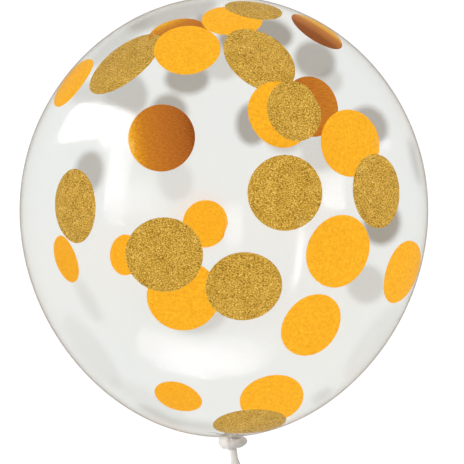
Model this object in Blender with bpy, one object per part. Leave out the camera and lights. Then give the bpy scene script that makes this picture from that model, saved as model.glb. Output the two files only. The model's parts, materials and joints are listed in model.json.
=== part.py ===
"""Confetti balloon: a clear latex balloon, blown up full, tied and lying on its side.

Metres, +Z up. The origin is the middle of the flat spot that it rests on. The long axis runs along Y,
with the crown at +Y and the knot and tail at -Y. The envelope, neck, knot, tail and rolled lip are one
piece of rubber, so they are one closed solid.
"""

import math

import bmesh
import bpy
from mathutils import Matrix, Vector

# Envelope
ENVELOPE_WIDTH = 0.305
ENVELOPE_HALF_LENGTH = 0.165
CROWN_FULLNESS = 0.031
END_TAPER = 0.034
FLAT_SPOT_WIDTH = 0.048

# Neck, gathered into folds where the knot grips it. The flare is the power that its width falls with.
NECK_BASE_WIDTH = 0.036
NECK_WIDTH = 0.0100
NECK_SHOWN = 0.0024
NECK_OVERLAP = 0.0072
NECK_PAST_KNOT_MIDDLE = 0.00235
NECK_FLARE = 3
NECK_FOLDS = 9
NECK_FOLD_DEPTH = 0.0006
KNOT_OFFSET = 0.0080

# Knot, a loop of the neck pulled tight round itself. The crossing strand's reach is in degrees either side of
# the top; its offset and sway are shares of the loop's radius, its rise one of the roll's height, and its lift
# one of the roll's thickness.
KNOT_WIDTH = 0.0220
ROLL_THICKNESS = 0.0072
ROLL_HEIGHT = 0.0094
STRAND_THICKNESS = 0.0062
STRAND_REACH = 105
STRAND_OFFSET = 0.40
STRAND_SWAY = 0.22
STRAND_RISE = 0.36
STRAND_LIFT = 0.12

# Tail, from the knot to the rolled lip. The fan starts at a share of the tail's length. The lip's reach is in
# degrees; its flatness and the mouth's are shares of the tail's thickness, the mouth's depth and rim ones of
# the bead's radius.
TAIL_LENGTH = 0.0280
TAIL_WIDTH = 0.0054
TAIL_THICKNESS = 0.0034
LIP_WIDTH = 0.0200
FAN_START = 0.45
FAN_POWER = 1.6
LIP_BEAD = 0.0026
LIP_REACH = 75
LIP_FLATNESS = 0.5
MOUTH_DEPTH = 0.2
MOUTH_RIM = 0.4
MOUTH_FLATNESS = 0.4
TAIL_SWING = 0.0045
TAIL_SWING_POWER = 1.5
TAIL_DROOP = 0.0030

# Fineness of the mesh
AROUND = 64
ALONG = 40
ROUND_SIDES = 16
POINTS_PER_FOLD = 4
NECK_STEPS = 8
STRAND_STEPS = 14
TAIL_STEPS = 12
LIP_STEPS = 6
SLOPE_STEP = 0.01

ENVELOPE_RADIUS = ENVELOPE_WIDTH / 2
FLAT_SPOT_DEPTH = ENVELOPE_RADIUS - math.sqrt(ENVELOPE_RADIUS**2 - (FLAT_SPOT_WIDTH / 2) ** 2)
AXIS_HEIGHT = ENVELOPE_RADIUS - FLAT_SPOT_DEPTH
LOOP_RADIUS = (KNOT_WIDTH - ROLL_THICKNESS) / 2
KNOT_CENTRE = Vector((KNOT_OFFSET, -ENVELOPE_HALF_LENGTH - NECK_SHOWN - ROLL_HEIGHT / 2, AXIS_HEIGHT))


def clear_scene():
    for old in list(bpy.data.objects):
        bpy.data.objects.remove(old, do_unlink=True)


def envelope_radius(along):
    """Radius at a place on the axis, from -1 at the knot to 1 at the crown: an ellipse drawn out like an egg."""
    ellipse = math.sqrt(max(0.0, 1 - along**2))
    return ENVELOPE_RADIUS * ellipse * (1 + CROWN_FULLNESS * along - END_TAPER * along**2)


def clear_latex():
    """Clear latex film, glossy and almost colourless."""
    material = bpy.data.materials.new("clear_latex")
    material.use_nodes = True
    shader = material.node_tree.nodes["Principled BSDF"]
    shader.inputs["Base Color"].default_value = (0.86, 0.85, 0.82, 1)
    shader.inputs["Roughness"].default_value = 0.12
    shader.inputs["Metallic"].default_value = 0.0
    shader.inputs["Alpha"].default_value = 0.35
    return material


def object_from(shape, name, material, helper=True):
    """Turns a bmesh into a smooth-shaded object. A helper is only there for a Boolean."""
    bmesh.ops.recalc_face_normals(shape, faces=shape.faces)
    mesh = bpy.data.meshes.new(name)
    shape.to_mesh(mesh)
    shape.free()
    mesh.materials.append(material)
    mesh.shade_smooth()
    mesh.set_sharp_from_angle(angle=math.radians(40))
    made = bpy.data.objects.new(name, mesh)
    bpy.context.scene.collection.objects.link(made)
    if helper:
        made.hide_render = True
        made.display_type = "WIRE"
    return made


def envelope(material):
    """A sphere with its poles on Y, each ring drawn to the envelope's own radius."""
    shape = bmesh.new()
    bmesh.ops.create_uvsphere(shape, u_segments=AROUND, v_segments=ALONG, radius=1)
    for point in shape.verts:
        along = point.co.z
        ring = math.hypot(point.co.x, point.co.y)
        grow = envelope_radius(along) / ring if ring > 1e-6 else 0.0
        point.co = Vector((point.co.x * grow, along * ENVELOPE_HALF_LENGTH, -point.co.y * grow + AXIS_HEIGHT))
    return object_from(shape, "balloon", material, helper=False)


def loft(rings):
    """A closed skin over a list of rings that have the same number of points."""
    shape = bmesh.new()
    rows = [[shape.verts.new(point) for point in ring] for ring in rings]
    sides = len(rows[0])
    for row, after in zip(rows, rows[1:]):
        for i in range(sides):
            j = (i + 1) % sides
            shape.faces.new((row[i], row[j], after[j], after[i]))
    shape.faces.new(reversed(rows[0]))
    shape.faces.new(rows[-1])
    bmesh.ops.triangulate(shape, faces=[face for face in shape.faces if len(face.verts) > 4])
    return shape


def neck(material):
    """The end of the envelope, drawn in with folds to the waist that the knot grips."""
    rings = []
    sides = NECK_FOLDS * POINTS_PER_FOLD
    start = -ENVELOPE_HALF_LENGTH + NECK_OVERLAP
    end = KNOT_CENTRE.y - NECK_PAST_KNOT_MIDDLE
    for step in range(NECK_STEPS + 1):
        share = step / NECK_STEPS
        width = NECK_WIDTH + (NECK_BASE_WIDTH - NECK_WIDTH) * (1 - share) ** NECK_FLARE
        centre = Vector((KNOT_OFFSET, start + (end - start) * share, AXIS_HEIGHT))
        ring = []
        for i in range(sides):
            angle = 2 * math.pi * i / sides
            radius = width / 2 + NECK_FOLD_DEPTH * math.cos(NECK_FOLDS * angle)
            ring.append(centre + Vector((radius * math.cos(angle), 0, radius * math.sin(angle))))
        rings.append(ring)
    return object_from(loft(rings), "neck", material)


def knot_loop(material):
    """The loop of the knot, a ring of rolled rubber round the neck."""
    shape = bmesh.new()
    section = []
    for i in range(ROUND_SIDES):
        angle = 2 * math.pi * i / ROUND_SIDES
        across = LOOP_RADIUS + ROLL_THICKNESS / 2 * math.cos(angle)
        section.append(shape.verts.new((across, ROLL_HEIGHT / 2 * math.sin(angle), 0)))
    edges = [shape.edges.new((section[i - 1], section[i])) for i in range(ROUND_SIDES)]
    bmesh.ops.spin(
        shape, geom=section + edges, cent=(0, 0, 0), axis=(0, 1, 0), angle=2 * math.pi, steps=ROUND_SIDES * 2
    )
    bmesh.ops.remove_doubles(shape, verts=shape.verts, dist=1e-6)
    bmesh.ops.transform(shape, matrix=Matrix.Translation(KNOT_CENTRE), verts=shape.verts)
    return object_from(shape, "knot_loop", material)


def strand_centre(turn):
    """The crossing strand's middle line: half an ellipse over the loop, from the envelope's side to the tail's."""
    return KNOT_CENTRE + Vector(
        (
            LOOP_RADIUS * (STRAND_SWAY * math.sin(turn) - STRAND_OFFSET),
            -ROLL_HEIGHT * STRAND_RISE * math.sin(turn),
            (LOOP_RADIUS + ROLL_THICKNESS * STRAND_LIFT) * math.cos(turn),
        )
    )


def knot_strand(material):
    """The strand that crosses the front of the loop and tucks under it where the tail leaves."""
    rings = []
    reach = math.radians(STRAND_REACH)
    radius = STRAND_THICKNESS / 2
    for step in range(STRAND_STEPS + 1):
        turn = reach * (2 * step / STRAND_STEPS - 1)
        centre = strand_centre(turn)
        tangent = (strand_centre(turn + SLOPE_STEP) - strand_centre(turn - SLOPE_STEP)).normalized()
        side = tangent.cross(Vector((1, 0, 0))).normalized()
        other = tangent.cross(side)
        ring = []
        for i in range(ROUND_SIDES):
            angle = 2 * math.pi * i / ROUND_SIDES
            ring.append(centre + side * radius * math.cos(angle) + other * radius * math.sin(angle))
        rings.append(ring)
    return object_from(loft(rings), "knot_strand", material)


def tail_centre(share):
    """The tail's middle line: it swings a little to +X and droops towards its lip."""
    return Vector(
        (
            KNOT_CENTRE.x + TAIL_SWING * share**TAIL_SWING_POWER,
            KNOT_CENTRE.y - TAIL_LENGTH * share,
            KNOT_CENTRE.z - TAIL_DROOP * share**2,
        )
    )


def flat_ring(centre, half_width, half_thickness):
    """An ellipse of points round the tail, with its long side along X."""
    sides = ROUND_SIDES * 2
    angles = [2 * math.pi * i / sides for i in range(sides)]
    return [centre + Vector((half_width * math.cos(a), 0, half_thickness * math.sin(a))) for a in angles]


def tail(material):
    """The neck's flattened tube beyond the knot, which fans out to a rolled lip with a shallow mouth in it."""
    rings = []
    bead = LIP_BEAD / 2
    end_half_width = LIP_WIDTH / 2 - bead
    half_thickness = TAIL_THICKNESS / 2
    for step in range(TAIL_STEPS):
        share = step / TAIL_STEPS
        fan = max(0.0, (share - FAN_START) / (1 - FAN_START)) ** FAN_POWER
        half_width = TAIL_WIDTH / 2 + (end_half_width - TAIL_WIDTH / 2) * fan
        rings.append(flat_ring(tail_centre(share), half_width, half_thickness))
    for step in range(LIP_STEPS + 1):
        turn = math.radians(LIP_REACH * (2 * step / LIP_STEPS - 1))
        centre = tail_centre(1) + Vector((0, -bead * math.sin(turn), 0))
        bulge = bead * math.cos(turn)
        rings.append(flat_ring(centre, end_half_width + bulge, half_thickness * LIP_FLATNESS + bulge))
    mouth = tail_centre(1) + Vector((0, -bead * MOUTH_DEPTH, 0))
    rings.append(flat_ring(mouth, end_half_width - bead * MOUTH_RIM, half_thickness * MOUTH_FLATNESS))
    return object_from(loft(rings), "tail", material)


def flat_spot_cutter(material):
    """A block under the floor's plane, which cuts the flat that the balloon rests on."""
    shape = bmesh.new()
    bmesh.ops.create_cube(shape, size=ENVELOPE_WIDTH)
    down = Matrix.Translation((0, 0, -ENVELOPE_WIDTH / 2))
    bmesh.ops.transform(shape, matrix=down, verts=shape.verts)
    return object_from(shape, "flat_spot_cutter", material)


def join(target, other, operation):
    step = target.modifiers.new(other.name, "BOOLEAN")
    step.operation = operation
    step.object = other
    step.solver = "EXACT"


def main():
    clear_scene()
    latex = clear_latex()
    balloon = envelope(latex)
    join(balloon, flat_spot_cutter(latex), "DIFFERENCE")
    for piece in (neck, knot_loop, knot_strand, tail):
        join(balloon, piece(latex), "UNION")


main()
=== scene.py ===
import json
import math

import bpy
import numpy as np
from mathutils import Matrix, Vector

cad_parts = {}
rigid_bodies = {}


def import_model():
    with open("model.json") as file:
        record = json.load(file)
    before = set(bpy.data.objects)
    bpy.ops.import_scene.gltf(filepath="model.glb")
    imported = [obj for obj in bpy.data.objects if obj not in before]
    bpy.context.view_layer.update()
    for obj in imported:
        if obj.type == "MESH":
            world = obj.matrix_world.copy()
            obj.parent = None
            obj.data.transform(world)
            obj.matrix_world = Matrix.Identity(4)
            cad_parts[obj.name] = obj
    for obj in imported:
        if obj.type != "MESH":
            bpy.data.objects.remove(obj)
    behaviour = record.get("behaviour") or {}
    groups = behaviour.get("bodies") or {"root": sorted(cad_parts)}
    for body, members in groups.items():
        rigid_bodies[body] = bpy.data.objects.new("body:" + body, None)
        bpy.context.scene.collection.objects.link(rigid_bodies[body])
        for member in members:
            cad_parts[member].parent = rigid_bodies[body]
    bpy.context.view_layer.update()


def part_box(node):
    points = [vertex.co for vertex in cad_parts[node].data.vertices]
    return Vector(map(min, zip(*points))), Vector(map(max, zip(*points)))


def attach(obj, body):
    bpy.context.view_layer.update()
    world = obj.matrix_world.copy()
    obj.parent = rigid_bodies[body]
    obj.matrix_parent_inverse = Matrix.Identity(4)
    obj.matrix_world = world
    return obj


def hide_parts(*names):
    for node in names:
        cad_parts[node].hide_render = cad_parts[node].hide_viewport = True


# Confetti balloon: a clear latex balloon, blown up full, tied and lying on its side, with foil and
# tissue discs clinging to the inside of its wall. Metres, +Z up. The origin is on the floor, under the
# envelope's axis, where its flat spot rests. The crown is at +Y and the knot and tail are at -Y.

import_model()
boxLow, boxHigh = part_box("balloon")
print("frame loaded")

# The envelope: its sizes from the CAD box, and the curve that the solid has too
shape = dict(
    radius=(boxHigh.x - boxLow.x) / 2,
    halfLength=boxHigh.y,
    crownFullness=0.031,
    endTaper=0.034,
    knotOffset=0.0080,
)
shape["axisHeight"] = boxHigh.z - shape["radius"]

picture = dict(
    width=464,  # and as high
    focal=770.0,  # pixels
    distance=3.9,  # camera to the envelope's middle, in radii
    middle=(224.4, 218.1),  # where the envelope's middle is seen
    roll=0.51,  # degrees that the long axis leans to the right
    search=(0.2, 1.0, 8001),  # distances from the camera where the wall is looked for, and how many
)


def linear(text):
    # sRGB hex to linear colour with alpha 1
    parts = [int(text[i:i + 2], 16) / 255 for i in (1, 3, 5)]
    return tuple(c / 12.92 if c <= 0.04045 else ((c + 0.055) / 1.055) ** 2.4 for c in parts) + (1.0,)


def addNode(tree, kind, sockets=None, stops=(), **settings):
    # one node, its settings, and for each socket a plain value or the output that feeds it; stops are
    # a colour ramp's pairs of place and sRGB hex
    made = tree.nodes.new("ShaderNode" + kind)
    for name, value in settings.items():
        setattr(made, name, value)
    for name, value in (sockets or {}).items():
        if isinstance(value, bpy.types.NodeSocket):
            tree.links.new(value, made.inputs[name])
        else:
            made.inputs[name].default_value = value
    if stops:
        ramp = made.color_ramp.elements
        for element, (place, colour) in zip(ramp, (stops[0], stops[-1])):
            element.position, element.color = place, linear(colour)
        for place, colour in stops[1:-1]:
            ramp.new(place).color = linear(colour)
    return made


def newMaterial(name):
    made = bpy.data.materials.new(name)
    made.use_nodes = True
    tree = made.node_tree
    return made, tree, tree.nodes["Principled BSDF"]


def setShader(shader, **values):
    # socket names written in camelCase, such as baseColor for Base Color
    for name, value in values.items():
        words = "".join(" " + c if c.isupper() else c for c in name).title()
        socket = shader.inputs[words.replace("Ior", "IOR")]
        if isinstance(value, bpy.types.NodeSocket):
            shader.id_data.links.new(value, socket)
        else:
            socket.default_value = value


def gridObject(name, grid, capStart=None, capEnd=None, material=None, uv=None):
    # rows x columns x 3 points become rings of quads; a cap is one point that closes the first or last
    # ring; uv gives two shares for each point, and a cap has the middle
    rows, columns = grid.shape[:2]
    points = grid.reshape(-1, 3)
    across = np.arange(columns)
    nextAcross = (across + 1) % columns
    down = np.arange(rows - 1)[:, None] * columns
    below = down + columns
    quads = np.stack([down + across, down + nextAcross, below + nextAcross, below + across], -1)
    faces = quads.reshape(-1, 4).tolist()
    for cap, first, turned in ((capStart, 0, True), (capEnd, (rows - 1) * columns, False)):
        if cap is None:
            continue
        tip = len(points)
        points = np.vstack([points, np.asarray(cap, float)[None]])
        fan = [(first + a, first + b, tip) for a, b in zip(across.tolist(), nextAcross.tolist())]
        faces += [face[::-1] for face in fan] if turned else fan
    mesh = bpy.data.meshes.new(name)
    mesh.from_pydata(points.tolist(), [], faces)
    mesh.shade_smooth()
    if uv is not None:
        middles = np.full((len(points) - rows * columns, 2), 0.5)
        shares = np.vstack([uv.reshape(-1, 2), middles])
        corners = np.empty(len(mesh.loops), int)
        mesh.loops.foreach_get("vertex_index", corners)
        mesh.uv_layers.new(name="disc").data.foreach_set("uv", shares[corners].ravel())
    made = bpy.data.objects.new(name, mesh)
    bpy.context.scene.collection.objects.link(made)
    if material:
        mesh.materials.append(material)
    return made


def eggRadius(along):
    # radius at a share of the half length: an ellipse times a slow egg curve
    along = np.clip(along, -1, 1)
    return shape["radius"] * np.sqrt(1 - along**2) * (
        1 + shape["crownFullness"] * along - shape["endTaper"] * along**2
    )


def eggLevel(points):
    # 0 in the middle of the envelope and 1 on its wall: the root of the two shares, of the egg's own
    # radius and of the half length, squared and summed
    along = points[..., 1] / shape["halfLength"]
    full = shape["radius"] * (1 + shape["crownFullness"] * along - shape["endTaper"] * along**2)
    return np.hypot(np.hypot(points[..., 0], points[..., 2] - shape["axisHeight"]) / full, along)


def levelSlope(points):
    # how eggLevel rises along x, y and z, by central differences
    step = 1e-5  # metres
    rise = [eggLevel(points + way) - eggLevel(points - way) for way in np.eye(3) * step]
    return np.stack(rise, -1) / (2 * step)


def insideWall(points):
    # metres from the wall, more than 0 on the inside
    return (1 - eggLevel(points)) / np.linalg.norm(levelSlope(points), axis=-1)


def wallNormal(point):
    slope = levelSlope(point)
    return slope / np.linalg.norm(slope)


film = dict(
    around=192,
    bodyRows=110,
    neckRows=60,
    neckZone=0.060,  # ring radius where rings begin to centre on the neck
    neckSpread=1.6,  # power that draws the rings together towards the mouth
    readings=4001,  # of the egg's radius, which the neck's rings are placed by
    mouthRadius=0.0044,
    funnelRadius=0.0175,
    funnelDrop=0.0062,
    funnelPower=2.2,
    tubeLength=0.0030,
    tubeRows=4,
    pleats=((9, 1.0, 0.0), (18, 0.4, 1.3), (5, 0.5, 0.7)),  # how many go round, strength and phase
    pleatDepth=0.0007,
    pleatReach=1.6,  # funnel radii
    pleatPower=1.5,
    pleatAcross=0.5,  # shares of the depth that go across the neck and along it
    pleatAlong=0.8,
    thickness=0.00025,
    floorSoftness=0.0010,
)


def filmGrid():
    # crown to neck. Body: a ring of the egg at each share of the length. Neck zone: rings of falling
    # radius about the neck's own line, their length place read back from the egg, less a funnel that
    # drops with a power of the closeness to the mouth. Pleats are cosines round the ring that grow
    # towards the mouth. Near the floor, height is half of z and the root of z squared plus a softness
    # squared, which flattens the underside.
    turn = 2 * np.pi * np.arange(film["around"]) / film["around"]
    fine = np.linspace(-1, 0, film["readings"])
    ringOf = eggRadius(fine)
    zoneAlong = np.interp(film["neckZone"], ringOf, fine)
    crownAngle = np.linspace(math.pi / 2, math.asin(zoneAlong), film["bodyRows"] + 1)[1:]
    along = np.sin(crownAngle)[:, None]
    ring = eggRadius(along)
    length = along * shape["halfLength"] + 0 * turn
    body = np.stack([ring * np.cos(turn), length, ring * np.sin(turn)], -1)
    share = np.linspace(0, 1, film["neckRows"] + 1)[1:, None]
    wide = (1 - share) ** film["neckSpread"]
    ring = film["neckZone"] * wide + film["mouthRadius"] * (1 - wide)
    shift = np.clip((film["neckZone"] - ring) / (film["neckZone"] - film["funnelRadius"]), 0, 1)
    shift = shape["knotOffset"] * shift**2 * (3 - 2 * shift)
    pastMouth = ring - film["mouthRadius"]
    near = np.clip(1 - pastMouth / (film["funnelRadius"] * film["pleatReach"]), 0, 1)
    waves = sum(size * np.cos(count * turn + phase) for count, size, phase in film["pleats"])
    fold = film["pleatDepth"] * near ** film["pleatPower"] * waves
    pleated = ring + fold * film["pleatAcross"]
    x = shift + pleated * np.cos(turn)
    z = pleated * np.sin(turn)
    y = np.interp(np.hypot(x, z), ringOf, fine) * shape["halfLength"]
    drop = np.clip(1 - pastMouth / (film["funnelRadius"] - film["mouthRadius"]), 0, 1)
    y = y - film["funnelDrop"] * drop ** film["funnelPower"] + fold * film["pleatAlong"]
    neck = np.stack([x, y, z], -1)
    steps = np.arange(1, film["tubeRows"] + 1)[:, None, None] / film["tubeRows"]
    tube = neck[-1:] - steps * np.array([0, film["tubeLength"], 0])
    grid = np.concatenate([body, neck, tube])
    height = grid[..., 2] + shape["axisHeight"]
    grid[..., 2] = 0.5 * (height + np.sqrt(height**2 + film["floorSoftness"] ** 2))
    return grid


def clearLatex():
    # clear natural latex, dipped and blown up to a thin skin: water-clear, glossy, with a trace of grey.
    # So thin a skin bends light far less than a block of latex does, so its IOR is low.
    material, _, shader = newMaterial("clearLatex")
    setShader(shader, baseColor=linear("#f1f1ee"), transmissionWeight=1.0, roughness=0.07, ior=1.03)
    return material


def buildFilm():
    grid = filmGrid()
    crown = (0, shape["halfLength"], shape["axisHeight"])
    made = gridObject("envelope_film", grid, capStart=crown, material=clearLatex())
    wall = made.modifiers.new("wall", "SOLIDIFY")
    wall.thickness = film["thickness"]
    wall.offset = -1
    wall.use_even_offset = False
    made.visible_diffuse = False
    made.visible_glossy = False
    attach(made, "root")
    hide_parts("balloon")
    print("envelope film made")


buildFilm()

knot = dict(
    beyond=0.0071,  # from the envelope's end to the knot's middle
    width=0.0220,
    rollThickness=0.0072,
    rollHeight=0.0094,
    rollHeightShare=0.8,  # of the height above, and what is taken off it towards the right
    rollThinning=0.2,
    rollRipple=0.05,
    rollFolds=7,
    rollTwist=0.03,
    twistStrands=3,
    twistTurns=4,
    strandThickness=0.0062,
    strandReach=105,  # degrees either way from the top of the knot
    strandOffset=0.40,
    strandSway=0.22,
    strandRise=0.36,
    strandLift=0.12,
    tailLength=0.0280,
    tailWidth=0.0054,
    tailThickness=0.0034,
    tailRidges=9,
    ridgeDepth=0.10,
    lipWidth=0.0200,
    fanStart=0.45,
    fanPower=1.6,
    lipBead=0.0026,
    lipReach=75,  # degrees either way from the middle of the bead
    mouthDepth=1.1,  # bead radii
    swing=0.0045,
    swingPower=1.5,
    droop=0.0030,
    voxel=0.00040,
    smoothing=0.5,
    passes=3,
)


def tubeGrid(line, radius, sides=40):
    # rings round a path, each across the path's own direction
    ahead = np.gradient(line, axis=0)
    ahead /= np.linalg.norm(ahead, axis=1, keepdims=True)
    side = np.cross(ahead, np.array([1.0, 0, 0]))
    side /= np.linalg.norm(side, axis=1, keepdims=True)
    other = np.cross(ahead, side)
    turn = 2 * np.pi * np.arange(sides)[:, None] / sides
    return line[:, None] + radius * (np.cos(turn) * side[:, None] + np.sin(turn) * other[:, None])


def thickLatex():
    # the same latex left thick where it isn't stretched: milky, half see-through, glossy
    material, _, shader = newMaterial("thickLatex")
    setShader(
        shader,
        baseColor=linear("#dad6d0"),
        transmissionWeight=0.25,
        roughness=0.18,
        ior=1.45,
        subsurfaceWeight=0.25,
        subsurfaceRadius=(0.004, 0.0035, 0.003),
        subsurfaceScale=1.0,
    )
    return material


def loopGrid(centre, loopRadius, rings=160, sides=40):
    # a ring of oval section round the neck, thinner on the right, its section rippled by the gathered
    # rubber: a cosine round the loop and one that winds along it
    around = 2 * np.pi * np.arange(rings)[:, None] / rings
    section = 2 * np.pi * np.arange(sides)[None] / sides
    height = knot["rollHeight"] / 2 * (knot["rollHeightShare"] - knot["rollThinning"] * np.cos(around))
    twist = knot["twistStrands"] * section + knot["twistTurns"] * around
    ripple = 1 + knot["rollRipple"] * np.cos(knot["rollFolds"] * around + 0.5)
    ripple = ripple + knot["rollTwist"] * np.cos(twist)
    across = loopRadius + knot["rollThickness"] / 2 * ripple * np.cos(section)
    loop = centre + np.stack(
        [across * np.cos(around), height * ripple * np.sin(section), across * np.sin(around)], -1
    )
    return np.concatenate([loop, loop[:1]])[:, ::-1]


def strandLine(centre, loopRadius, points=60):
    # half an ellipse over the loop, from the envelope's side to the tail's
    turn = np.radians(np.linspace(-knot["strandReach"], knot["strandReach"], points))
    return centre + np.stack(
        [
            loopRadius * (knot["strandSway"] * np.sin(turn) - knot["strandOffset"]),
            -knot["rollHeight"] * knot["strandRise"] * np.sin(turn),
            (loopRadius + knot["rollThickness"] * knot["strandLift"]) * np.cos(turn),
        ],
        -1,
    )


def tailGrid(centre, rings=80, lipRings=16, sides=64):
    # flattened rings along a line that swings and droops, fanned out by a power to the rolled lip, whose
    # bead is part of a circle; low ridges run along it, a cosine round each ring. The points that close
    # it come with it: its start, and the mouth's, sunk into the lip.
    bead = knot["lipBead"] / 2
    base = knot["tailWidth"] / 2
    share = np.linspace(0, 1, rings)
    aside = knot["swing"] * share ** knot["swingPower"]
    line = centre + np.stack([aside, -knot["tailLength"] * share, -knot["droop"] * share**2], -1)
    fan = np.clip((share - knot["fanStart"]) / (1 - knot["fanStart"]), 0, 1) ** knot["fanPower"]
    halfWidth = base + (knot["lipWidth"] / 2 - bead - base) * fan
    halfThick = np.full_like(share, knot["tailThickness"] / 2)
    lipTurn = np.radians(np.linspace(-knot["lipReach"], knot["lipReach"], lipRings))
    lipLine = line[-1] + np.stack([0 * lipTurn, -bead * np.sin(lipTurn), 0 * lipTurn], -1)
    line = np.vstack([line[:-1], lipLine])
    halfWidth = np.concatenate([halfWidth[:-1], knot["lipWidth"] / 2 - bead + bead * np.cos(lipTurn)])
    halfThick = np.concatenate([halfThick[:-1], knot["tailThickness"] / 4 + bead * np.cos(lipTurn)])
    turn = 2 * np.pi * np.arange(sides) / sides
    ridge = 1 + knot["ridgeDepth"] * np.cos(knot["tailRidges"] * turn)
    wide = halfWidth[:, None] * np.cos(turn)
    thick = halfThick[:, None] * ridge * np.sin(turn)
    mouth = line[-1] + np.array([0, bead * knot["mouthDepth"], 0])
    return line[:, None] + np.stack([wide, 0 * wide, thick], -1), line[0], mouth


def joined(parts):
    # one mesh from several objects, which are removed
    points, faces, start = [], [], 0
    for part in parts:
        count = len(part.data.vertices)
        flat = np.empty(count * 3)
        part.data.vertices.foreach_get("co", flat)
        points.append(flat.reshape(-1, 3))
        faces += [[start + i for i in face.vertices] for face in part.data.polygons]
        start += count
        bpy.data.objects.remove(part)
    mesh = bpy.data.meshes.new("joined")
    mesh.from_pydata(np.vstack(points).tolist(), [], faces)
    return mesh


def settle(target):
    # replaces the mesh by what its modifiers make of it
    graph = bpy.context.evaluated_depsgraph_get()
    made = bpy.data.meshes.new_from_object(target.evaluated_get(graph))
    target.modifiers.clear()
    target.data = made
    made.shade_smooth()


def buildKnot():
    centre = np.array([shape["knotOffset"], -shape["halfLength"] - knot["beyond"], shape["axisHeight"]])
    loopRadius = (knot["width"] - knot["rollThickness"]) / 2
    loop = gridObject("loop", loopGrid(centre, loopRadius))
    line = strandLine(centre, loopRadius)
    strand = gridObject("strand", tubeGrid(line, knot["strandThickness"] / 2), line[0], line[-1])
    tail = gridObject("tail", *tailGrid(centre))
    made = bpy.data.objects.new("knot_and_tail", joined([loop, strand, tail]))
    bpy.context.scene.collection.objects.link(made)
    fuse = made.modifiers.new("fuse", "REMESH")
    fuse.mode = "VOXEL"
    fuse.voxel_size = knot["voxel"]
    fuse.use_smooth_shade = True
    soften = made.modifiers.new("soften", "SMOOTH")
    soften.factor = knot["smoothing"]
    soften.iterations = knot["passes"]
    settle(made)
    made.data.materials.append(thickLatex())
    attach(made, "root")
    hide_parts("balloon")
    print("knot and tail made")


buildKnot()

# The camera, which the discs are placed by
scale = picture["distance"] * shape["radius"] / picture["focal"]
lean = math.radians(picture["roll"])
imageRight = np.array([math.cos(lean), math.sin(lean), 0])
imageUp = np.array([-math.sin(lean), math.cos(lean), 0])
fromMiddle = (picture["width"] / 2 - np.array(picture["middle"])) * scale
cameraSpot = imageRight * fromMiddle[0] - imageUp * fromMiddle[1]
cameraSpot[2] = shape["axisHeight"] + picture["distance"] * shape["radius"]


def makeCamera():
    data = bpy.data.cameras.new("camera")
    data.lens = picture["focal"] / picture["width"] * data.sensor_width
    data.clip_start = 0.01
    data.clip_end = 100
    made = bpy.data.objects.new("camera", data)
    bpy.context.scene.collection.objects.link(made)
    made.location = Vector(cameraSpot)
    made.rotation_euler = (0, 0, lean)
    bpy.context.scene.camera = made


makeCamera()


def seen(points):
    # pixel where each point is seen
    away = points - cameraSpot
    scaled = -picture["focal"] / away[..., 2:]
    flat = np.stack([away @ imageRight, -(away @ imageUp)], -1)
    return picture["width"] / 2 + flat * scaled


def pixelRay(x, y):
    # direction from the camera through a pixel of the picture
    half = picture["width"] / 2
    ray = imageRight * (x - half) + imageUp * (half - y) - np.array([0, 0, picture["focal"]])
    return ray / np.linalg.norm(ray)


def throughWall(x, y):
    # the ray through a pixel, and its distances from the camera, in metres, that lie inside the wall, or
    # the one nearest to the wall where the ray passes the envelope by
    ray = pixelRay(x, y)
    reach = np.linspace(*picture["search"])
    level = eggLevel(cameraSpot + reach[:, None] * ray)
    within = reach[level < 1]
    return ray, within if len(within) else reach[[np.argmin(level)]]


confetti = dict(
    thickness=0.00016,
    rings=20,
    sides=96,
    sharpEdge=40,  # degrees
    waveTurn=2.4,  # radians that the waves turn by from disc to disc
    clearance=0.0006,  # from the wall
    gap=0.0007,  # between discs that overlap
    margin=1.03,  # of a disc's radius, within which another one counts as behind it
    mostLean=15,  # degrees between a disc and the wall that it clings to
    edgeOn=0.45,  # a wall that faces the camera by less than this share moves its discs along its normal
    leastFacing=0.5,
    tries=8,  # to bring the drawn disc onto its place in the picture
    mostMove=3,  # pixels in one try
    mostGrowth=0.05,  # share of the radius in one try
    wallSteps=60,  # to bring it inside the wall
    pushes=20,  # to bring it behind another disc
    closeEnough=1e-5,
)

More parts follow.
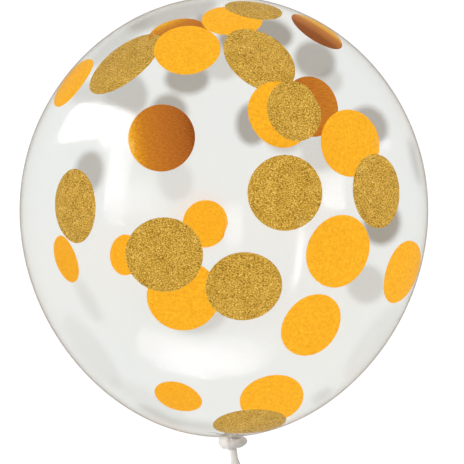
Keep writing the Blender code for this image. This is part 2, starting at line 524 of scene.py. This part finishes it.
# name: pixel of the middle, half long side and half short side in pixels, turn of the long side in
# degrees from the picture's right, wall, and the discs it lies behind. For foil with a painted sheen,
# light painted into its colour, bright is the way to the bright side in degrees, and glow is how steep
# the painted sheen is. hug is how far the disc follows the wall's curve, from 0 for flat to 1.
discs = {
    "gold_01": dict(at=(284.9, 192.8), size=(38.0, 37.4), turn=90),
    "gold_02": dict(at=(164.2, 254.6), size=(38.8, 37.0), turn=0),
    "gold_03": dict(at=(243.9, 286.2), size=(38.4, 33.8), turn=8),
    "gold_04": dict(at=(376.1, 191.2), size=(37.2, 22.8), turn=95),
    "gold_05": dict(at=(75.3, 206.0), size=(37.2, 19.6), turn=92),
    "gold_06": dict(at=(294.0, 111.0), size=(30.8, 25.4), turn=102),
    "orange_04": dict(at=(279.0, 114.6), size=(34.6, 29.8), turn=-55, behind=("gold_06",)),
    "gold_07": dict(at=(259.3, 60.3), size=(40.0, 25.0), turn=-40, behind=("gold_06", "orange_04")),
    "orange_01": dict(at=(187.2, 50.3), size=(33.4, 23.5), turn=5),
    "gold_08": dict(at=(125.6, 64.1), size=(44.0, 16.3), turn=38, behind=("orange_01",)),
    "gold_09": dict(at=(253.5, 10.5), size=(29.0, 7.8), turn=-8),
    "orange_02": dict(at=(232.1, 21.1), size=(30.4, 13.6), turn=-1, behind=("gold_09", "gold_07")),
    "amber_03": dict(
        at=(178.2, 34.4), size=(29.8, 14.7), turn=10,
        behind=("orange_01", "orange_02", "gold_08"), bright=120,
    ),
    "gold_10": dict(at=(249.9, 426.2), size=(36.7, 11.0), turn=5),
    "orange_09": dict(at=(271.6, 398.3), size=(32.2, 22.4), turn=12, behind=("gold_10",)),
    "orange_05": dict(at=(350.2, 143.2), size=(34.0, 28.8), turn=-75, behind=("gold_04",)),
    "amber_04": dict(
        at=(310.7, 106.6), size=(31.0, 27.0), turn=-70,
        behind=("gold_06", "orange_05"), bright=10, glow=0.4,
    ),
    "orange_03": dict(at=(73.0, 82.4), size=(29.4, 8.5), turn=52, hug=1.0),
    "orange_06": dict(at=(337.8, 251.2), size=(37.4, 30.5), turn=68),
    "orange_07": dict(at=(402.2, 271.9), size=(32.8, 16.2), turn=70),
    "orange_08": dict(at=(310.8, 324.9), size=(34.0, 26.1), turn=48),
    "orange_14": dict(at=(183.2, 295.7), size=(36.5, 34.6), turn=-5, behind=("gold_02", "gold_03")),
    "amber_01": dict(at=(161.6, 138.0), size=(33.8, 33.0), turn=45, bright=190),
    "amber_02": dict(at=(318.0, 28.4), size=(29.6, 8.6), turn=-32, bright=58, glow=2.1, hug=1.0),
    "orange_10": dict(at=(178.3, 396.3), size=(24.8, 13.2), turn=-18, wall="back"),
    "orange_11": dict(at=(66.2, 259.0), size=(24.5, 10.2), turn=-72, wall="back"),
    "orange_12": dict(at=(125.6, 254.9), size=(20.4, 15.4), turn=90, wall="back"),
    "orange_13": dict(at=(205.3, 223.8), size=(23.8, 20.0), turn=65, wall="back"),
    # on the far wall, where the ones in front hide them from the picture's side
    "orange_15": dict(at=(284.9, 192.8), size=(24.0, 23.4), turn=60, wall="back"),
    "gold_11": dict(at=(338.0, 251.0), size=(24.0, 21.0), turn=70, wall="back"),
    "amber_05": dict(at=(246.0, 287.0), size=(23.0, 22.0), turn=10, wall="back"),
    "orange_16": dict(at=(312.0, 325.0), size=(23.0, 20.0), turn=45, wall="back"),
    "gold_12": dict(at=(161.6, 138.0), size=(24.0, 21.5), turn=45, wall="back"),
    "amber_06": dict(at=(350.0, 144.0), size=(23.0, 19.0), turn=-70, wall="back"),
    "orange_17": dict(at=(258.0, 61.0), size=(22.5, 16.5), turn=-20, wall="back"),
    "gold_13": dict(at=(187.0, 50.5), size=(22.5, 16.0), turn=12, wall="back"),
    "gold_14": dict(at=(176.0, 303.0), size=(22.5, 20.0), turn=-20, wall="back"),
    "orange_18": dict(at=(271.0, 397.0), size=(22.5, 13.0), turn=12, wall="back"),
}

finishes = dict(
    gold=dict(slot="gold_foil_paper", hug=0.35, wave=0.00025),
    orange=dict(slot="orange_tissue", hug=0.75, wave=0.00035),
    amber=dict(slot="amber_foil_paper", hug=0.35, wave=0.00025),
)


def perMetre(size):
    # a pattern's scale from its real size in millimetres
    return 1000 / size


goldFoil = dict(
    folds=0.606,  # mm; real ones go down to about 0.2 mm, which is too fine for the picture
    squeeze=(0.7, 1.0, 0.3),  # draws the folds out along x and z
    turn=0.5,
    paintedShadePatches=9.09,  # mm
    patchWeight=0.12,
    stops=((0.40, "#52390a"), (0.50, "#9f7923"), (0.56, "#be9234"), (0.62, "#d1a542"), (0.73, "#f2cf75")),
)


def goldFoilPaper():
    # gold foil on paper, crushed before it was cut: satin, with short folds that also make its bump.
    # Its colour has painted shade in the folds, painted glints on the crests, and patches of painted
    # shade where more of the folds turn away from the light
    material, tree, shader = newMaterial("goldFoilPaper")
    place = addNode(tree, "TexCoord").outputs["Object"]
    drawn = {"Vector": place, "Scale": goldFoil["squeeze"], "Rotation": (0, 0, goldFoil["turn"])}
    drawn = addNode(tree, "Mapping", drawn).outputs["Vector"]
    folds = {"Vector": drawn, "Scale": perMetre(goldFoil["folds"]), "Detail": 3.0, "Roughness": 0.7}
    folds = addNode(tree, "TexNoise", folds).outputs["Fac"]
    paintedShadePatches = {"Vector": place, "Scale": perMetre(goldFoil["paintedShadePatches"]), "Detail": 3.0, "Roughness": 0.6}
    paintedShadePatches = addNode(tree, "TexNoise", paintedShadePatches).outputs["Fac"]
    # painted light: the folds and the patches pick a colour from dark, for painted shade, to bright, for
    # painted glints
    mixed = {0: paintedShadePatches, 1: goldFoil["patchWeight"], 2: folds}
    mixed = addNode(tree, "Math", mixed, operation="MULTIPLY_ADD").outputs["Value"]
    colour = addNode(tree, "ValToRGB", {"Fac": mixed}, goldFoil["stops"]).outputs["Color"]
    bump = addNode(tree, "Bump", {"Height": folds, "Strength": 0.15, "Distance": 0.0002}).outputs["Normal"]
    setShader(shader, baseColor=colour, metallic=0.1, roughness=0.45, specularIorLevel=0.15, normal=bump)
    return material


tissue = dict(
    fibres=1.923,  # mm
    stops=((0.34, "#dc9418"), (0.50, "#e8a31d"), (0.66, "#f0b228")),
)


def orangeTissue():
    # tissue paper dyed orange: matt, even, with the faint cloud of its fibres and their nap
    material, tree, shader = newMaterial("orangeTissue")
    place = addNode(tree, "TexCoord").outputs["Object"]
    cloud = {"Vector": place, "Scale": perMetre(tissue["fibres"]), "Detail": 5.0, "Roughness": 0.75}
    cloud = addNode(tree, "TexNoise", cloud).outputs["Fac"]
    colour = addNode(tree, "ValToRGB", {"Fac": cloud}, tissue["stops"]).outputs["Color"]
    bump = addNode(tree, "Bump", {"Height": cloud, "Strength": 0.15, "Distance": 0.0002}).outputs["Normal"]
    setShader(shader, baseColor=colour, roughness=0.75, specularIorLevel=0.15, normal=bump)
    return material


amberFoil = dict(
    across=40.0,  # mm, a disc, over which the shares run from 0 to 1
    streakLength=2.0,  # mm
    streakWidth=2 / 3,  # mm; real ones are finer than the picture shows
    turn=0.45,
    streakShare=0.45,  # of the painted sheen that the streaks carry, against 1 for the place across the disc
    # painted sheen: colours from brown to bright yellow that stand in for light on the foil
    paintedSheen=(
        (0.18, "#985013"), (0.25, "#b06422"), (0.50, "#c47527"),
        (0.68, "#d08324"), (0.77, "#e89e22"), (0.83, "#ffbc28"),
    ),
    shade=((0.36, "#e0d8cc"), (0.62, "#ffffff")),
)


def amberFoilPaper():
    # amber foil on paper, brushed by its rolling: fine streaks across the disc, and a painted sheen, light
    # painted into its colour, that runs from bright at one rim to brown at the other
    material, tree, shader = newMaterial("amberFoilPaper")
    shares = addNode(tree, "UVMap", uv_map="disc").outputs["UV"]
    across = addNode(tree, "SeparateXYZ", {"Vector": shares}).outputs["X"]
    many = [amberFoil["across"] / amberFoil[side] for side in ("streakLength", "streakWidth")]
    drawn = {"Vector": shares, "Scale": (*many, 1.0), "Rotation": (0, 0, amberFoil["turn"])}
    drawn = addNode(tree, "Mapping", drawn).outputs["Vector"]
    streaks = {"Vector": drawn, "Scale": 1.0, "Detail": 4.0, "Roughness": 0.7}
    streaks = addNode(tree, "TexNoise", streaks).outputs["Fac"]
    # the painted sheen: the streaks and the place across the disc choose a colour, from brown at one rim to
    # bright at the other
    paintedSheen = {0: streaks, 1: amberFoil["streakShare"], 2: across}
    paintedSheen = addNode(tree, "Math", paintedSheen, operation="MULTIPLY_ADD").outputs["Value"]
    paintedSheen = {0: paintedSheen, 1: 1 + amberFoil["streakShare"]}
    paintedSheen = addNode(tree, "Math", paintedSheen, operation="DIVIDE").outputs["Value"]
    graded = addNode(tree, "ValToRGB", {"Fac": paintedSheen}, amberFoil["paintedSheen"]).outputs["Color"]
    shade = addNode(tree, "ValToRGB", {"Fac": streaks}, amberFoil["shade"]).outputs["Color"]
    mix = {"Factor": 1.0, "A": graded, "B": shade}
    colour = addNode(tree, "Mix", mix, data_type="RGBA", blend_type="MULTIPLY").outputs["Result"]
    bump = addNode(tree, "Bump", {"Height": streaks, "Strength": 0.2, "Distance": 0.0002}).outputs["Normal"]
    setShader(shader, baseColor=colour, metallic=0.25, roughness=0.4, specularIorLevel=0.15, normal=bump)
    return material


def discPoints(centre, normal, longSide, radius, hug, wave, phase):
    # polar grid: flat disc in the plane of longSide, bowed with the wall by the square of the distance
    # from its middle, and waved by cosines of the angle that grow towards the rim
    shortSide = np.cross(normal, longSide)
    far = np.linspace(0, 1, confetti["rings"] + 1)[1:, None]
    turn = 2 * np.pi * np.arange(confetti["sides"])[None] / confetti["sides"]
    lift = -hug * (far * radius) ** 2 / (2 * shape["radius"])
    lift = lift + wave * far**2 * (np.cos(2 * turn + phase) + 0.5 * np.cos(3 * turn + 2.1 * phase))
    flat = far * radius
    return (
        centre
        + (flat * np.cos(turn))[..., None] * longSide
        + (flat * np.sin(turn))[..., None] * shortSide
        + lift[..., None] * normal
    )


def offWall(normal, outward):
    # degrees between a disc and the wall
    return math.degrees(math.acos(min(1, normal.dot(outward))))


def discPlane(at, size, turn, wall):
    # where the ray through the pixel meets the wall, and the disc's normal from its drawn ellipse
    ray, within = throughWall(*at)
    reach = within[-1] if wall == "back" else within[0]
    point = cameraSpot + reach * ray
    outward = wallNormal(point)
    angle = math.radians(turn)
    longSide = imageRight * math.cos(angle) + imageUp * math.sin(angle)
    longSide = longSide - longSide.dot(ray) * ray
    longSide /= np.linalg.norm(longSide)
    across = np.cross(ray, longSide)
    squeeze = min(1.0, size[1] / size[0])
    tilt = math.sqrt(1 - squeeze**2)
    normals = [np.cross(longSide, across * squeeze + ray * tilt * sign) for sign in (1, -1)]
    normals = [n if n.dot(outward) > 0 else -n for n in normals]
    normal = max(normals, key=lambda n: n.dot(outward))
    leanNow = offWall(normal, outward)
    if leanNow > confetti["mostLean"]:
        normal = outward + (normal - outward) * confetti["mostLean"] / leanNow
        normal /= np.linalg.norm(normal)
        longSide = longSide - longSide.dot(normal) * normal
        longSide /= np.linalg.norm(longSide)
    return ray, reach, normal, longSide, outward


def pushBehind(grid, centre, ray, other):
    # moves a disc away from the camera until it is behind another one wherever both are drawn
    flattest = 1e-3  # a ray that runs in the other disc's plane doesn't meet it
    for attempt in range(confetti["pushes"]):
        away = grid - cameraSpot
        distance = np.linalg.norm(away, axis=-1)
        direction = away / distance[..., None]
        slant = direction @ other["normal"]
        slant = np.where(np.abs(slant) < flattest, flattest, slant)
        meet = (other["centre"] - cameraSpot) @ other["normal"] / slant
        hit = cameraSpot + meet[..., None] * direction
        within = np.linalg.norm(hit - other["centre"], axis=-1) < other["radius"] * confetti["margin"]
        if not within.any():
            break
        need = (meet - distance)[within].max() + confetti["gap"]
        if need <= confetti["closeEnough"]:
            break
        grid = grid + ray * need
        centre = centre + ray * need
    return grid, centre


def fitted(spec, finish, phase, placed):
    # builds the disc, sees how far its rim is drawn from its place and size in the picture, and builds it
    # again with that taken off; the closest one is kept
    at, radiusShare = np.array(spec["at"], float), 1.0
    hug = spec.get("hug", finish["hug"])
    best, kept = math.inf, None
    angle = math.radians(spec["turn"])
    along = np.array([math.cos(angle), -math.sin(angle)])
    for attempt in range(confetti["tries"]):
        plane = discPlane(at, spec["size"], spec["turn"], spec.get("wall", "front"))
        ray, reach, normal, longSide, outward = plane
        radius = spec["size"][0] / picture["focal"] * reach * radiusShare
        centre = cameraSpot + reach * ray
        facing = -ray.dot(outward)
        if abs(facing) > confetti["edgeOn"]:
            inwards = ray / max(abs(facing), confetti["leastFacing"]) * np.sign(facing)
        else:
            inwards = -outward
        for step in range(confetti["wallSteps"]):
            grid = discPoints(centre, normal, longSide, radius, hug, finish["wave"], phase)
            short = confetti["clearance"] - insideWall(grid).min()
            if short <= confetti["closeEnough"]:
                break
            centre = centre + inwards * short
        for other in spec.get("behind", ()):
            grid, centre = pushBehind(grid, centre, ray, placed[other])
        rim = seen(grid[-1])
        middle = (rim.min(0) + rim.max(0)) / 2
        drawn = np.abs((rim - middle) @ along).max()
        miss = np.array(spec["at"]) - middle
        error = np.hypot(*miss) + abs(spec["size"][0] - drawn)
        if error < best:
            best, kept = error, (grid, centre, normal, outward, radius)
        at = at + np.clip(miss, -confetti["mostMove"], confetti["mostMove"])
        growth = confetti["mostGrowth"]
        radiusShare *= np.clip(spec["size"][0] / drawn, 1 - growth, 1 + growth)
    print(f"fitted to {best:.1f} pixels")
    return kept


def buildDisc(name, spec, placed, materials, number):
    kind = name.split("_")[0]
    finish = finishes[kind]
    grid, centre, normal, outward, radius = fitted(spec, finish, number * confetti["waveTurn"], placed)
    placed[name] = dict(centre=centre, normal=normal, radius=radius)
    half = normal * confetti["thickness"] / 2
    # the shares run across the disc, the first one towards the bright side of the painted sheen, which is
    # away from the picture's middle unless the disc says otherwise
    away = np.array(spec["at"]) - np.array(picture["middle"])
    bright = math.radians(spec.get("bright", math.degrees(math.atan2(-away[1], away[0]))))
    towards = imageRight * math.cos(bright) + imageUp * math.sin(bright)
    towards = towards - towards.dot(normal) * normal
    towards /= np.linalg.norm(towards)
    flat = (grid - centre) / radius / 2
    shares = np.stack([flat @ towards * spec.get("glow", 1), flat @ np.cross(normal, towards)], -1) + 0.5
    made = gridObject(
        "confetti_" + name,
        np.concatenate([grid + half, (grid - half)[::-1]])[:, ::-1],
        capStart=centre + half,
        capEnd=centre - half,
        material=materials[kind],
        uv=np.concatenate([shares, shares[::-1]])[:, ::-1],
    )
    made.data.set_sharp_from_angle(angle=math.radians(confetti["sharpEdge"]))
    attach(made, "root")
    print(f"{name}: {radius * 2000:.1f} mm across, leans {offWall(normal, outward):.0f} degrees off the",
          f"wall, at most {insideWall(grid).max() * 1000:.1f} mm from it")
    return made


def buildConfetti():
    materials = dict(gold=goldFoilPaper(), orange=orangeTissue(), amber=amberFoilPaper())
    covering = {other for spec in discs.values() for other in spec.get("behind", ())}
    placed = {}
    for number, (name, spec) in enumerate(discs.items()):
        made = buildDisc(name, spec, placed, materials, number)
        # one that covers another takes no soft light from it
        made.visible_diffuse = name not in covering
    print("confetti made:", len(discs), "discs")


buildConfetti()

studio = dict(
    floorRadius=30.0,
    floorSides=96,
    floorColour="#e9e6e2",
    horizon=0.80,  # tones of the dome
    zenith=0.32,
    zenithFrom=0.7,  # height on the dome, of 1, from which it has the zenith's tone
    dome=(0.60, 0.60, 0.60, 1),  # what the matt faces receive from all round
    mirrored=(0.43, 0.37, 0.31, 1),  # what the glossy ones mirror
)


def makeFloor():
    # a paper sweep: matt, near white
    material, _, shader = newMaterial("floorPaper")
    setShader(shader, baseColor=linear(studio["floorColour"]), roughness=0.9, specularIorLevel=0.0)
    turn = 2 * np.pi * np.arange(studio["floorSides"]) / studio["floorSides"]
    ring = studio["floorRadius"] * np.stack([np.cos(turn), np.sin(turn), 0 * turn], -1)
    floor = gridObject("floor", ring[None], capEnd=(0, 0, 0), material=material)
    floor.visible_glossy = False  # so that the film mirrors the darker room and its outline shows


def makeWorld():
    world = bpy.data.worlds.new("world")
    world.use_nodes = True
    tree = world.node_tree
    direction = addNode(tree, "TexCoord").outputs["Generated"]
    height = addNode(tree, "SeparateXYZ", {"Vector": direction}).outputs["Z"]
    level = addNode(tree, "MapRange", {
        "Value": height, "From Min": 0.0, "From Max": studio["zenithFrom"],
        "To Min": studio["horizon"], "To Max": studio["zenith"],
    })
    # a ray is told by how it came: mirrored, off a matt face, or straight and through the film
    path = addNode(tree, "LightPath").outputs
    bounced = {0: path["Is Glossy Ray"], 1: path["Is Transmission Ray"]}
    bounced = addNode(tree, "Math", bounced, operation="SUBTRACT", use_clamp=True).outputs["Value"]
    seenOf = level.outputs["Result"]
    for share, colour in ((bounced, studio["mirrored"]), (path["Is Diffuse Ray"], studio["dome"])):
        mix = {"Factor": share, "A": seenOf, "B": colour}
        seenOf = addNode(tree, "Mix", mix, data_type="RGBA").outputs["Result"]
    background = tree.nodes["Background"]
    tree.links.new(seenOf, background.inputs["Color"])
    world.cycles.sampling_method = "NONE"
    bpy.context.scene.world = world


def lamp(name, kind, place, target=(0, 0, 0.15), seenIn=("diffuse",), **settings):
    data = bpy.data.lights.new(name, kind)
    for key, value in settings.items():
        setattr(data, key, value)
    made = bpy.data.objects.new(name, data)
    bpy.context.scene.collection.objects.link(made)
    made.location = place
    made.rotation_euler = (Vector(place) - Vector(target)).to_track_quat("Z", "Y").to_euler()
    made.visible_camera = False
    made.visible_transmission = False
    made.visible_diffuse = "diffuse" in seenIn
    made.visible_glossy = "glossy" in seenIn
    return made


makeFloor()
makeWorld()


def onlyFor(light, name, receivers):
    # this light falls on the given objects alone
    group = bpy.data.collections.new(name)
    for receiver in receivers:
        group.objects.link(receiver)
    light.light_linking.receiver_collection = group


# Light from straight above falls on the floor alone, past small flags that hang over the envelope. They
# throw the soft grey discs that the photograph shows through it. Each by the pixel where its shadow is
# seen, half sizes in pixels, turn in degrees and how much of the light it holds back.
flags = dict(
    height=0.9,
    sides=48,
    sunEnergy=2.52,
    sunColour=(0.886, 0.99, 1.13),  # cool, against the warm light that the discs throw on the floor
    sunAngle=0.55,
    spots=(
        (187, 79, 22, 15, 0, 0.90),
        (169, 112, 18, 18, 0, 0.84),
        (175, 181, 18, 20, 0, 0.24),
        (126, 94, 21, 23, 20, 0.60),
        (89, 98, 15, 17, 60, 0.36),
        (89, 172, 21, 14, 80, 0.73),
        (252, 124, 16, 21, 0, 0.93),
        (222, 62, 18, 18, 0, 0.42),
        (272, 33, 21, 14, 160, 1.00),
        (205, 22, 10, 8, 0, 0.90),
        (225, 39, 7, 8, 0, 1.00),
        (172, 15, 46, 9, 16, 0.60),
        (118, 42, 40, 8, 38, 0.38),
        (315, 60, 21, 18, 150, 0.84),
        (330, 80, 13, 12, 130, 0.42),
        (368, 127, 21, 19, 120, 0.86),
        (285, 134, 20, 19, 0, 0.50),
        (320, 152, 19, 19, 0, 0.36),
        (382, 224, 21, 18, 70, 1.00),
        (366, 284, 19, 19, 60, 0.42),
        (416, 162, 4, 24, 14, 0.50),
        (196, 304, 34, 30, 0, 0.35),
        (88, 300, 26, 7, -60, 0.20),
        (92, 352, 44, 12, -53, 0.16),
        (372, 342, 44, 11, 54, 0.14),
        (150, 402, 44, 9, -30, 0.14),
        (158, 416, 24, 4, -27, 0.40),
        (205, 427, 34, 5, -8, 0.30),
        (322, 396, 12, 5, 36, 0.30),
    ),
)


def flagCard(number, x, y, wide, high, turn, dense):
    material, _, shader = newMaterial(f"flagCard{number}")
    setShader(shader, baseColor=linear("#202020"), alpha=dense)
    ray = pixelRay(x, y)
    spot = cameraSpot - ray * cameraSpot[2] / ray[2]
    scale = -cameraSpot[2] / ray[2] / picture["focal"]
    angle = math.radians(turn)
    side = imageRight * math.cos(angle) + imageUp * math.sin(angle)
    other = imageUp * math.cos(angle) - imageRight * math.sin(angle)
    rim = 2 * np.pi * np.arange(flags["sides"])[:, None] / flags["sides"]
    ring = spot + scale * (wide * np.cos(rim) * side + high * np.sin(rim) * other)
    ring[:, 2] += flags["height"]
    card = gridObject(f"flag{number}", ring[None], capEnd=ring.mean(0), material=material)
    card.visible_camera = card.visible_diffuse = card.visible_glossy = card.visible_transmission = False
    return card


cards = [flagCard(number, *spot) for number, spot in enumerate(flags["spots"])]
floorSun = lamp("floorSun", "SUN", (0, 0, 1), target=(0, 0, 0), energy=flags["sunEnergy"],
                color=flags["sunColour"], angle=math.radians(flags["sunAngle"]))
onlyFor(floorSun, "litByFloorSun", [bpy.data.objects["floor"]])
shades = bpy.data.collections.new("shadesFloorSun")
for card in cards:
    shades.objects.link(card)
floorSun.light_linking.blocker_collection = shades


def highlight(name, region, radiance, fading=0.5, away=0.75):
    # a softbox placed where the front wall mirrors it inside this region of the picture, away metres from
    # the wall
    x0, y0, x1, y1 = region

    def mirror(x, y):
        ray, within = throughWall(x, y)
        point = cameraSpot + within[0] * ray
        normal = wallNormal(point)
        return point, ray - 2 * ray.dot(normal) * normal

    point, ahead = mirror((x0 + x1) / 2, (y0 + y1) / 2)
    middle = point + ahead * away

    def land(x, y):
        spot, way = mirror(x, y)
        return spot + way * (middle - spot).dot(ahead) / way.dot(ahead)

    across = land(x1, (y0 + y1) / 2) - land(x0, (y0 + y1) / 2)
    up = land((x0 + x1) / 2, y0) - land((x0 + x1) / 2, y1)
    wide, high = np.linalg.norm(across), np.linalg.norm(up)
    side = across / wide
    top = up - up.dot(side) * side
    top /= np.linalg.norm(top)
    facing = np.cross(side, top)
    if facing.dot(ahead) < 0:
        side, facing = -side, -facing
    made = lamp(name, "AREA", middle, seenIn=("glossy",), shape="RECTANGLE", size=wide, size_y=high,
                energy=radiance * math.pi * wide * high)
    made.rotation_euler = Matrix(np.stack([side, top, facing], 1).tolist()).to_euler()
    made.data.cycles.use_multiple_importance_sampling = False  # it would only add sparks
    onlyFor(made, "mirrors_" + name, [bpy.data.objects["envelope_film"]])
    # the box fades to its edges: the product of 4 u (1 - u) for both of its shares, to a power
    made.data.use_nodes = True
    tree = made.data.node_tree
    place = addNode(tree, "NewGeometry").outputs["Parametric"]
    shares = addNode(tree, "SeparateXYZ", {"Vector": place}).outputs
    fade = 16.0**fading
    for axis in "XY":
        rest = addNode(tree, "Math", {0: 1.0, 1: shares[axis]}, operation="SUBTRACT").outputs["Value"]
        hump = addNode(tree, "Math", {0: shares[axis], 1: rest}, operation="MULTIPLY").outputs["Value"]
        hump = addNode(tree, "Math", {0: hump, 1: fading}, operation="POWER").outputs["Value"]
        fade = addNode(tree, "Math", {0: hump, 1: fade}, operation="MULTIPLY").outputs["Value"]
    tree.links.new(fade, tree.nodes["Emission"].inputs["Strength"])
    print(name, "stands at", middle.round(3).tolist(), "size", round(wide, 3), round(high, 3))


# Each softbox by the region of the picture where the front wall mirrors it. The film mirrors so little
# that they are strong.
softboxes = dict(
    window=dict(region=(64, 106, 130, 133), radiance=1500, fading=0.3),
    windowFoot=dict(region=(99, 128, 122, 150), radiance=800),
    tallBox=dict(region=(104, 138, 129, 228), radiance=900, fading=0.6),
    belowBox=dict(region=(122, 176, 168, 222), radiance=420, fading=1.0),
    rightBox=dict(region=(322, 172, 347, 210), radiance=900, fading=0.7),
    rightStrip=dict(region=(295, 220, 304, 292), radiance=1100, fading=0.6),
    smallBox=dict(region=(377, 141, 399, 148), radiance=900),
    lowBox=dict(region=(134, 336, 282, 382), radiance=480, fading=0.8),
    middleBox=dict(region=(225, 198, 245, 252), radiance=600, fading=0.8),
    leftStreak=dict(region=(42, 150, 52, 290), radiance=40, fading=0.6),
)
for name, spec in softboxes.items():
    highlight(name, **spec)

# The discs get soft light of their own, from four sides and from above, heights and angle in degrees
discLights = dict(top=1.14, side=1.58, sideHeight=10, firstSide=45, angle=60)
pieces = [piece for piece in bpy.data.objects if piece.name.startswith("confetti_")]
noShade = bpy.data.collections.new("noShade")  # the floor is all that could hold this light back
noShade.objects.link(bpy.data.objects["floor"])
ways = [("side", discLights["sideHeight"], discLights["firstSide"] + 90 * side) for side in range(4)]
for number, (kind, raised, heading) in enumerate([*ways, ("top", 90, 0)]):
    raised, heading = math.radians(raised), math.radians(heading)
    flat = math.cos(raised)
    way = (flat * math.cos(heading), flat * math.sin(heading), math.sin(raised))
    sun = lamp(f"discLight{number}", "SUN", way, target=(0, 0, 0), energy=discLights[kind],
               angle=math.radians(discLights["angle"]))
    onlyFor(sun, f"litByDiscLight{number}", pieces)
    sun.light_linking.blocker_collection = noShade

# The knot is lit from the left
knotLight = dict(way=(-0.8, 0.1, 0.6), energy=3.0, angle=30)
sun = lamp("knotLight", "SUN", knotLight["way"], target=(0, 0, 0), energy=knotLight["energy"],
           angle=math.radians(knotLight["angle"]))
onlyFor(sun, "litByKnotLight", [bpy.data.objects["knot_and_tail"]])

scene = bpy.context.scene
scene.view_settings.view_transform = "Standard"
scene.cycles.use_denoising = True
print("studio made")
